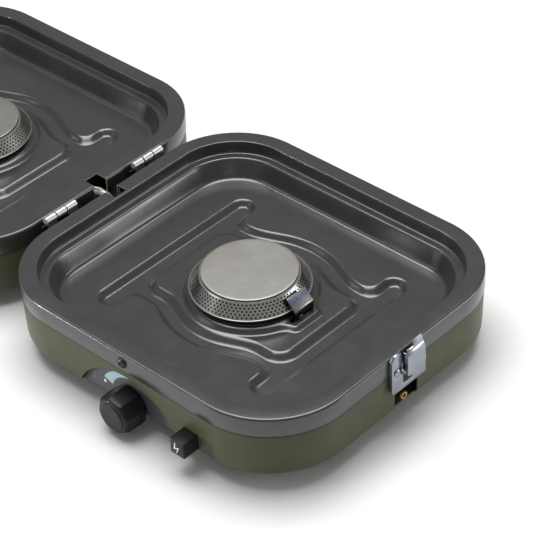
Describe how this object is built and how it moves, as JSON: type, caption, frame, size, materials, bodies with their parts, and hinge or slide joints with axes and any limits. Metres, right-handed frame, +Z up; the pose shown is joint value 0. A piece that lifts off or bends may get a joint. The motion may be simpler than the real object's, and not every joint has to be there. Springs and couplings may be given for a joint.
{
  "type": "camping stove",
  "caption": "Folding two-burner table-top gas stove, opened flat: rounded olive case halves with coated drip trays, round burners, knobs, igniter buttons, hinges and a side latch.",
  "frame": {"origin": "on the surface that the opened stove stands on, under the middle of its box", "axes": "+X from the left half to the right half, -Y towards the cook, where the knobs are, +Z up"},
  "size_m": [0.669, 0.3074, 0.0816],
  "materials": {
    "olive_paint": "satin",
    "tray_coating": "satin",
    "panel_grey": "satin",
    "black_steel": "satin",
    "cast_aluminium": "satin",
    "perforated_steel": "satin",
    "satin_steel": "satin",
    "heat_tinted_steel": "satin",
    "ceramic": "satin",
    "brass": "satin",
    "black_plastic": "satin",
    "lead_rubber": "matte",
    "foot_rubber": "matte",
    "chrome_hinge": "polished",
    "braided_hose": "satin",
    "zinc_plate": "polished"
  },
  "bodies": {
    "right_half": {"right_housing": "olive_paint", "right_tray": "tray_coating", "right_control_panel": "panel_grey", "right_tray_screw": "black_steel", "right_burner_base": "cast_aluminium", "right_burner_band": "perforated_steel", "right_burner_cap": "satin_steel", "right_burner_tube": "cast_aluminium", "right_igniter_shield": "heat_tinted_steel", "right_electrode": "ceramic", "right_valve_body": "brass", "right_piezo_unit": "black_plastic", "right_ignition_lead": "lead_rubber", "right_link_pipe": "brass", "right_hose_ferrule": "brass", "right_foot_front_inner": "foot_rubber", "right_foot_front_outer": "foot_rubber", "right_foot_back_inner": "foot_rubber", "right_foot_back_outer": "foot_rubber", "hinge_front_right_leaf": "chrome_hinge", "hinge_front_pin": "chrome_hinge", "hinge_back_right_leaf": "chrome_hinge", "hinge_back_pin": "chrome_hinge", "link_hose": "braided_hose", "inlet_pipe": "brass", "inlet_nipple": "brass", "inlet_bracket": "zinc_plate", "latch_base": "zinc_plate", "latch_pin": "zinc_plate", "latch_spring": "zinc_plate", "latch_rivet": "zinc_plate"},
    "left_half": {"left_housing": "olive_paint", "left_tray": "tray_coating", "left_control_panel": "panel_grey", "left_tray_screw": "black_steel", "left_burner_base": "cast_aluminium", "left_burner_band": "perforated_steel", "left_burner_cap": "satin_steel", "left_burner_tube": "cast_aluminium", "left_igniter_shield": "heat_tinted_steel", "left_electrode": "ceramic", "left_valve_body": "brass", "left_piezo_unit": "black_plastic", "left_ignition_lead": "lead_rubber", "left_link_pipe": "brass", "left_hose_ferrule": "brass", "left_foot_front_inner": "foot_rubber", "left_foot_front_outer": "foot_rubber", "left_foot_back_inner": "foot_rubber", "left_foot_back_outer": "foot_rubber", "hinge_front_left_leaf": "chrome_hinge", "hinge_back_left_leaf": "chrome_hinge", "latch_strike": "zinc_plate"},
    "right_knob": {"right_knob": "black_plastic", "right_valve_stem": "brass"},
    "left_knob": {"left_knob": "black_plastic", "left_valve_stem": "brass"},
    "right_igniter_button": {"right_igniter_button": "black_plastic"},
    "left_igniter_button": {"left_igniter_button": "black_plastic"},
    "latch_hook": {"latch_hook": "zinc_plate"}
  },
  "joints": [
    {"name": "fold", "type": "hinge", "parent": "right_half", "child": "left_half", "pos_m": [-0.00295, 0.0087, 0.075], "axis": [0, 1, 0], "range_deg": [0, 180], "deforming": ["link_hose"]},
    {"name": "right_knob_turn", "type": "hinge", "parent": "right_half", "child": "right_knob", "pos_m": [0.16455, -0.1303, 0.02], "axis": [0, -1, 0], "range_deg": [0, 90]},
    {"name": "right_igniter_press", "type": "slide", "parent": "right_half", "child": "right_igniter_button", "axis": [0, 1, 0], "range_m": [0, 0.005], "stiffness_N_per_m": 500},
    {"name": "left_knob_turn", "type": "hinge", "parent": "left_half", "child": "left_knob", "pos_m": [-0.17045, -0.1303, 0.02], "axis": [0, -1, 0], "range_deg": [0, 90]},
    {"name": "left_igniter_press", "type": "slide", "parent": "left_half", "child": "left_igniter_button", "axis": [0, 1, 0], "range_m": [0, 0.005], "stiffness_N_per_m": 500},
    {"name": "latch_rock", "type": "hinge", "parent": "right_half", "child": "latch_hook", "pos_m": [0.33125, 0.0107, 0.059], "axis": [0, 1, 0], "range_deg": [0, 14], "stiffness_Nm_per_rad": 0.4}
  ]
}
